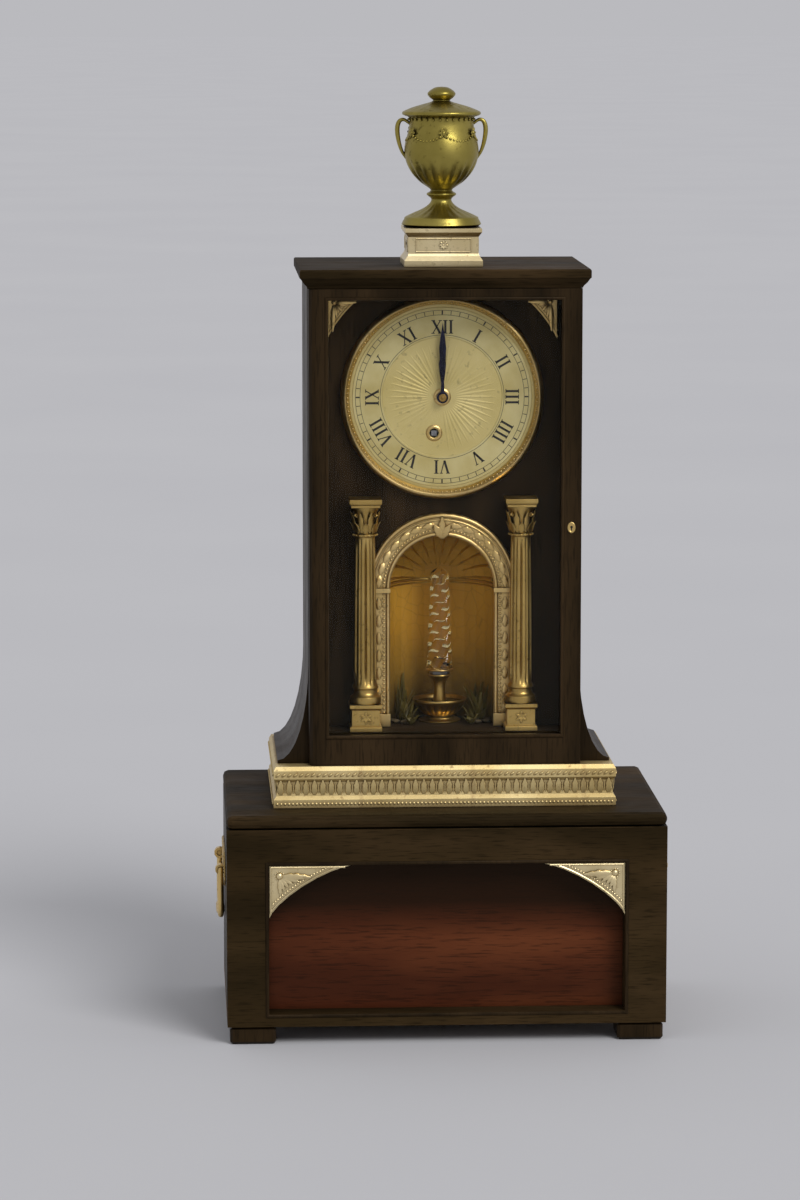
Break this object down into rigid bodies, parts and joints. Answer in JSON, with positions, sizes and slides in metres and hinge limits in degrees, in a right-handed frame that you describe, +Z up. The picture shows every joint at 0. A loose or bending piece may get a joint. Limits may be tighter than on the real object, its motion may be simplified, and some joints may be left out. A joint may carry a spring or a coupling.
{
  "type": "musical automaton clock",
  "caption": "Tall ebonised clock case with gilt dial and arched niche on a wide music box base, with drop handles and an urn on top.",
  "frame": {"origin": "on the floor, below the middle of the base", "axes": "+Z up, the dial and the base's recessed front face -Y, +X to the viewer's right"},
  "size_m": [0.3414, 0.2, 0.7034],
  "materials": {
    "ebonised_wood": "dark polish",
    "mahogany": "polished",
    "plain_wood": "plain",
    "gilt": "gilt, aged",
    "gilt_wood": "gilded",
    "dial_face": "matt gilt",
    "scene_paint": "painted",
    "brass": "satin",
    "steel": "satin",
    "blued_steel": "blued",
    "glass": "clear"
  },
  "bodies": {
    "case": {"base_bottom_board": "plain_wood", "base_left_side": "ebonised_wood", "base_right_side": "ebonised_wood", "base_front_frame": "ebonised_wood", "base_recess_panel": "mahogany", "base_top_board": "ebonised_wood", "foot_front_left": "ebonised_wood", "foot_front_right": "ebonised_wood", "foot_back_left": "ebonised_wood", "foot_back_right": "ebonised_wood", "base_spandrel_left": "gilt", "base_spandrel_right": "gilt", "handle_mount_left": "gilt", "handle_mount_right": "gilt", "foot_moulding": "gilt_wood", "case_floor": "ebonised_wood", "case_left_side": "ebonised_wood", "case_right_side": "ebonised_wood", "cornice": "ebonised_wood", "dial_board": "ebonised_wood", "case_spandrel_left": "gilt", "case_spandrel_right": "gilt", "column_left": "gilt", "column_right": "gilt", "arch": "gilt", "dial_bezel": "gilt", "dial": "dial_face", "scene_niche": "scene_paint", "fountain_basin": "gilt", "urn_pedestal": "gilt", "urn": "gilt", "front_plate": "brass", "back_plate": "brass", "music_bedplate": "brass", "music_left_plate": "brass", "music_right_plate": "brass", "music_comb": "steel"},
    "front_door": {"front_door_frame": "ebonised_wood", "front_door_glass": "glass"},
    "upper_rear_door": {"case_rear_door": "plain_wood"},
    "lower_rear_door": {"base_rear_door": "plain_wood"},
    "centre": {"centre_wheel": "brass", "minute_hand": "blued_steel"},
    "hour": {"hour_hand": "blued_steel"},
    "motion": {"minute_wheel": "brass"},
    "great": {"great_wheel": "brass"},
    "third": {"third_wheel": "brass"},
    "escape": {"escape_wheel": "brass"},
    "winder": {"winding_arbor": "steel"},
    "swinger": {"anchor": "steel", "pendulum": "brass"},
    "cylinder": {"music_cylinder": "brass"},
    "barrel": {"music_barrel": "brass"},
    "drive": {"drive_arbor": "brass"},
    "governor": {"governor_wheel": "brass"},
    "air_brake": {"fly": "steel"},
    "fountain": {"fountain_shaft": "steel", "fountain_rod": "glass"},
    "left_handle": {"handle_left": "gilt"},
    "right_handle": {"handle_right": "gilt"}
  },
  "joints": [
    {"name": "front_door_hinge", "type": "hinge", "parent": "case", "child": "front_door", "pos_m": [-0.095, -0.0591, 0.38055], "axis": [0, 0, -1], "range_deg": [0, 105]},
    {"name": "case_rear_door_hinge", "type": "hinge", "parent": "case", "child": "upper_rear_door", "pos_m": [-0.098, 0.072, 0.38055], "axis": [0, 0, 1], "range_deg": [0, 110]},
    {"name": "base_rear_door_hinge", "type": "hinge", "parent": "case", "child": "lower_rear_door", "pos_m": [-0.159, 0.096, 0.092], "axis": [0, 0, 1], "range_deg": [0, 110]},
    {"name": "centre_turn", "type": "hinge", "parent": "case", "child": "centre", "pos_m": [0, -0.0333, 0.4743], "axis": [0, 1, 0], "continuous": true},
    {"name": "hour_turn", "type": "hinge", "parent": "case", "child": "hour", "pos_m": [0, -0.0311, 0.4743], "axis": [0, 1, 0], "continuous": true},
    {"name": "minute_wheel_turn", "type": "hinge", "parent": "case", "child": "motion", "pos_m": [0.012, -0.0136, 0.4743], "axis": [0, 1, 0], "continuous": true},
    {"name": "great_turn", "type": "hinge", "parent": "case", "child": "great", "pos_m": [-0.006, 0.0155, 0.44736], "axis": [0, 1, 0], "continuous": true},
    {"name": "third_turn", "type": "hinge", "parent": "case", "child": "third", "pos_m": [0.01124, 0.0085, 0.49376], "axis": [0, 1, 0], "continuous": true},
    {"name": "escape_turn", "type": "hinge", "parent": "case", "child": "escape", "pos_m": [0, 0.014, 0.5094], "axis": [0, 1, 0], "continuous": true},
    {"name": "winding_turn", "type": "hinge", "parent": "case", "child": "winder", "pos_m": [-0.006, -0.012, 0.44736], "axis": [0, 1, 0], "continuous": true},
    {"name": "pendulum_swing", "type": "hinge", "parent": "case", "child": "swinger", "pos_m": [0, 0.03, 0.5289], "axis": [0, 1, 0], "range_deg": [-4, 4]},
    {"name": "cylinder_turn", "type": "hinge", "parent": "case", "child": "cylinder", "pos_m": [0, 0, 0.0653], "axis": [1, 0, 0], "continuous": true},
    {"name": "barrel_turn", "type": "hinge", "parent": "case", "child": "barrel", "pos_m": [-0.0735, 0.0312, 0.0653], "axis": [1, 0, 0], "continuous": true},
    {"name": "drive_turn", "type": "hinge", "parent": "case", "child": "drive", "pos_m": [0.045, 0, 0.0993], "axis": [1, 0, 0], "continuous": true},
    {"name": "governor_turn", "type": "hinge", "parent": "case", "child": "governor", "pos_m": [0.0507, 0.0145, 0.09041], "axis": [1, 0, 0], "continuous": true},
    {"name": "fly_turn", "type": "hinge", "parent": "case", "child": "air_brake", "pos_m": [0.0507, 0.02697, 0.09761], "axis": [1, 0, 0], "continuous": true},
    {"name": "fountain_turn", "type": "hinge", "parent": "case", "child": "fountain", "pos_m": [0, 0, 0.2644], "axis": [0, 0, 1], "continuous": true},
    {"name": "handle_left_swing", "type": "hinge", "parent": "case", "child": "left_handle", "pos_m": [-0.1667, 0, 0.1195], "axis": [0, 1, 0], "range_deg": [0, 110]},
    {"name": "handle_right_swing", "type": "hinge", "parent": "case", "child": "right_handle", "pos_m": [0.1667, 0, 0.1195], "axis": [0, -1, 0], "range_deg": [0, 110]}
  ],
  "couplings": [
    {"joint": "hour_turn", "follows": "centre_turn", "ratio": 0.083333},
    {"joint": "minute_wheel_turn", "follows": "centre_turn", "ratio": -0.33333},
    {"joint": "great_turn", "follows": "centre_turn", "ratio": -0.2},
    {"joint": "third_turn", "follows": "centre_turn", "ratio": -6},
    {"joint": "escape_turn", "follows": "centre_turn", "ratio": 30},
    {"joint": "barrel_turn", "follows": "cylinder_turn", "ratio": -0.3},
    {"joint": "drive_turn", "follows": "cylinder_turn", "ratio": -2.4},
    {"joint": "governor_turn", "follows": "cylinder_turn", "ratio": -4.8},
    {"joint": "fly_turn", "follows": "cylinder_turn", "ratio": 19.2},
    {"joint": "fountain_turn", "follows": "cylinder_turn", "ratio": 7.2}
  ]
}
